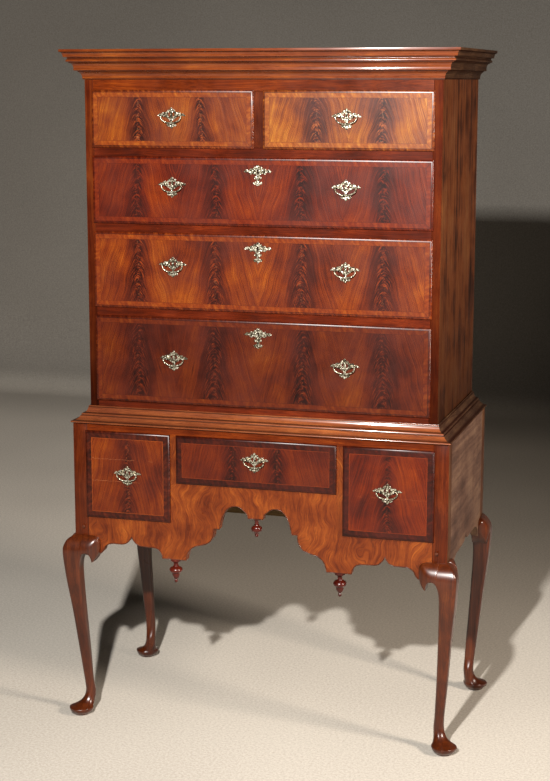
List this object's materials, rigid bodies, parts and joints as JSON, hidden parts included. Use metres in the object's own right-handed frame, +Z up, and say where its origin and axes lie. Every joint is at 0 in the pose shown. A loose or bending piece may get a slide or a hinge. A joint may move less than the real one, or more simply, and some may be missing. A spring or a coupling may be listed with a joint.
{
  "type": "highboy chest of drawers",
  "caption": "Flat-top highboy: upper case of lipped drawers in a moulded waist on a lower case with a scalloped apron, turned drops and cabriole legs with pad feet.",
  "frame": {"origin": "centre of the bounding box's bottom face, on the floor between the feet", "axes": "+Z up; drawers open towards -Y; +X to the right when facing the drawers"},
  "size_m": [1.0706, 0.5696, 1.78],
  "materials": {
    "walnut_case": "old shellac and wax, glossy",
    "walnut_turned": "dark red-brown, polished",
    "walnut_veneer": "crotch-figured veneer under old shellac",
    "secondary_pine": "bare, darkened with age",
    "brass_furniture": "pale aged cast brass",
    "iron_bolt": "dark, oiled"
  },
  "bodies": {
    "base": {"leg_front_left": "walnut_turned", "leg_front_right": "walnut_turned", "leg_back_left": "walnut_turned", "leg_back_right": "walnut_turned", "front_apron": "walnut_veneer", "lower_top_rail": "walnut_case", "lower_side_left": "walnut_case", "lower_side_right": "walnut_case", "lower_back": "secondary_pine", "waist_moulding": "walnut_case", "pendant_left": "walnut_turned", "pendant_centre": "walnut_turned", "pendant_right": "walnut_turned"},
    "upper_case": {"upper_side_left": "walnut_case", "upper_side_right": "walnut_case", "upper_back": "secondary_pine", "upper_top": "walnut_case", "upper_bottom": "walnut_case", "upper_top_rail": "walnut_case", "drawer_blade_1": "walnut_case", "drawer_blade_2": "walnut_case", "drawer_blade_3": "walnut_case", "top_drawer_divider": "walnut_case", "cornice": "walnut_case"},
    "bail_top_left": {"bail_top_left": "brass_furniture"},
    "drawer_top_left": {"drawer_top_left": "walnut_veneer", "pull_plate_top_left": "brass_furniture"},
    "bail_top_right": {"bail_top_right": "brass_furniture"},
    "drawer_top_right": {"drawer_top_right": "walnut_veneer", "pull_plate_top_right": "brass_furniture"},
    "bail_long_1_left": {"bail_long_1_left": "brass_furniture"},
    "bail_long_1_right": {"bail_long_1_right": "brass_furniture"},
    "lock_bolt_long_1": {"lock_bolt_long_1": "iron_bolt"},
    "drawer_long_1": {"drawer_long_1": "walnut_veneer", "pull_plate_long_1_left": "brass_furniture", "pull_plate_long_1_right": "brass_furniture", "escutcheon_long_1": "brass_furniture"},
    "bail_long_2_left": {"bail_long_2_left": "brass_furniture"},
    "bail_long_2_right": {"bail_long_2_right": "brass_furniture"},
    "lock_bolt_long_2": {"lock_bolt_long_2": "iron_bolt"},
    "drawer_long_2": {"drawer_long_2": "walnut_veneer", "pull_plate_long_2_left": "brass_furniture", "pull_plate_long_2_right": "brass_furniture", "escutcheon_long_2": "brass_furniture"},
    "bail_long_3_left": {"bail_long_3_left": "brass_furniture"},
    "bail_long_3_right": {"bail_long_3_right": "brass_furniture"},
    "lock_bolt_long_3": {"lock_bolt_long_3": "iron_bolt"},
    "drawer_long_3": {"drawer_long_3": "walnut_veneer", "pull_plate_long_3_left": "brass_furniture", "pull_plate_long_3_right": "brass_furniture", "escutcheon_long_3": "brass_furniture"},
    "bail_low_left": {"bail_low_left": "brass_furniture"},
    "drawer_low_left": {"drawer_low_left": "walnut_veneer", "pull_plate_low_left": "brass_furniture"},
    "bail_low_right": {"bail_low_right": "brass_furniture"},
    "drawer_low_right": {"drawer_low_right": "walnut_veneer", "pull_plate_low_right": "brass_furniture"},
    "bail_low_centre": {"bail_low_centre": "brass_furniture"},
    "drawer_low_centre": {"drawer_low_centre": "walnut_veneer", "pull_plate_low_centre": "brass_furniture"}
  },
  "joints": [
    {"name": "upper_case_lift", "type": "slide", "parent": "base", "child": "upper_case", "axis": [0, 0, 1], "range_m": [0, 0.08]},
    {"name": "drawer_top_left_slide", "type": "slide", "parent": "upper_case", "child": "drawer_top_left", "axis": [0, -1, 0], "range_m": [0, 0.39]},
    {"name": "bail_top_left_hinge", "type": "hinge", "parent": "drawer_top_left", "child": "bail_top_left", "pos_m": [-0.228, -0.23729, 1.61624], "axis": [-1, 0, 0], "range_deg": [-10, 170]},
    {"name": "drawer_top_right_slide", "type": "slide", "parent": "upper_case", "child": "drawer_top_right", "axis": [0, -1, 0], "range_m": [0, 0.39]},
    {"name": "bail_top_right_hinge", "type": "hinge", "parent": "drawer_top_right", "child": "bail_top_right", "pos_m": [0.228, -0.23729, 1.61624], "axis": [-1, 0, 0], "range_deg": [-10, 170]},
    {"name": "drawer_long_1_slide", "type": "slide", "parent": "upper_case", "child": "drawer_long_1", "axis": [0, -1, 0], "range_m": [0, 0.39]},
    {"name": "bail_long_1_left_hinge", "type": "hinge", "parent": "drawer_long_1", "child": "bail_long_1_left", "pos_m": [-0.228, -0.23729, 1.4423], "axis": [-1, 0, 0], "range_deg": [-10, 170]},
    {"name": "bail_long_1_right_hinge", "type": "hinge", "parent": "drawer_long_1", "child": "bail_long_1_right", "pos_m": [0.228, -0.23729, 1.4423], "axis": [-1, 0, 0], "range_deg": [-10, 170]},
    {"name": "lock_bolt_long_1_slide", "type": "slide", "parent": "drawer_long_1", "child": "lock_bolt_long_1", "axis": [0, 0, 1], "range_m": [0, 0.009]},
    {"name": "drawer_long_2_slide", "type": "slide", "parent": "upper_case", "child": "drawer_long_2", "axis": [0, -1, 0], "range_m": [0, 0.39]},
    {"name": "bail_long_2_left_hinge", "type": "hinge", "parent": "drawer_long_2", "child": "bail_long_2_left", "pos_m": [-0.228, -0.23729, 1.23791], "axis": [-1, 0, 0], "range_deg": [-10, 170]},
    {"name": "bail_long_2_right_hinge", "type": "hinge", "parent": "drawer_long_2", "child": "bail_long_2_right", "pos_m": [0.228, -0.23729, 1.23791], "axis": [-1, 0, 0], "range_deg": [-10, 170]},
    {"name": "lock_bolt_long_2_slide", "type": "slide", "parent": "drawer_long_2", "child": "lock_bolt_long_2", "axis": [0, 0, 1], "range_m": [0, 0.009]},
    {"name": "drawer_long_3_slide", "type": "slide", "parent": "upper_case", "child": "drawer_long_3", "axis": [0, -1, 0], "range_m": [0, 0.39]},
    {"name": "bail_long_3_left_hinge", "type": "hinge", "parent": "drawer_long_3", "child": "bail_long_3_left", "pos_m": [-0.228, -0.23729, 0.99448], "axis": [-1, 0, 0], "range_deg": [-10, 170]},
    {"name": "bail_long_3_right_hinge", "type": "hinge", "parent": "drawer_long_3", "child": "bail_long_3_right", "pos_m": [0.228, -0.23729, 0.99448], "axis": [-1, 0, 0], "range_deg": [-10, 170]},
    {"name": "lock_bolt_long_3_slide", "type": "slide", "parent": "drawer_long_3", "child": "lock_bolt_long_3", "axis": [0, 0, 1], "range_m": [0, 0.009]},
    {"name": "drawer_low_left_slide", "type": "slide", "parent": "base", "child": "drawer_low_left", "axis": [0, -1, 0], "range_m": [0, 0.39]},
    {"name": "bail_low_left_hinge", "type": "hinge", "parent": "drawer_low_left", "child": "bail_low_left", "pos_m": [-0.3492, -0.27129, 0.68722], "axis": [-1, 0, 0], "range_deg": [-10, 170]},
    {"name": "drawer_low_right_slide", "type": "slide", "parent": "base", "child": "drawer_low_right", "axis": [0, -1, 0], "range_m": [0, 0.39]},
    {"name": "bail_low_right_hinge", "type": "hinge", "parent": "drawer_low_right", "child": "bail_low_right", "pos_m": [0.3492, -0.27129, 0.68722], "axis": [-1, 0, 0], "range_deg": [-10, 170]},
    {"name": "drawer_low_centre_slide", "type": "slide", "parent": "base", "child": "drawer_low_centre", "axis": [0, -1, 0], "range_m": [0, 0.39]},
    {"name": "bail_low_centre_hinge", "type": "hinge", "parent": "drawer_low_centre", "child": "bail_low_centre", "pos_m": [0, -0.27129, 0.74483], "axis": [-1, 0, 0], "range_deg": [-10, 170]}
  ]
}
